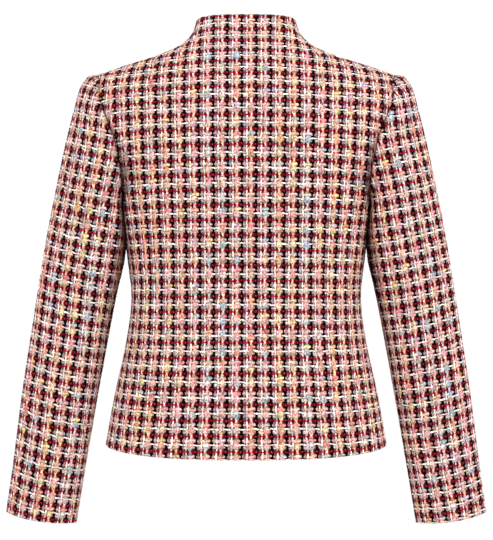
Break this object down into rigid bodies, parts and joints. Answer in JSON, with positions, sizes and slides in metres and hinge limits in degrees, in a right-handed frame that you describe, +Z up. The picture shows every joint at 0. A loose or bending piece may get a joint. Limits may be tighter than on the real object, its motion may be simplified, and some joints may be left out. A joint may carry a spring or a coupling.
{
  "type": "tweed jacket",
  "caption": "Short fitted tweed jacket with a funnel neck and long set-in sleeves, filled out hollow as if worn, open at the neck, hem and cuffs.",
  "frame": {"origin": "between the wearer's shoulders, at the foot of the neck and level with its sides, where the jacket is held up", "axes": "+Z up, +Y the way the wearer faces, +X the wearer's right"},
  "size_m": [0.65, 0.2264, 0.6675],
  "materials": {
    "tweed": "loosely woven multicolour tweed"
  },
  "bodies": {
    "root": {"back": "tweed", "front_left": "tweed", "front_right": "tweed", "sleeve_left": "tweed", "sleeve_right": "tweed"}
  },
  "joints": []
}
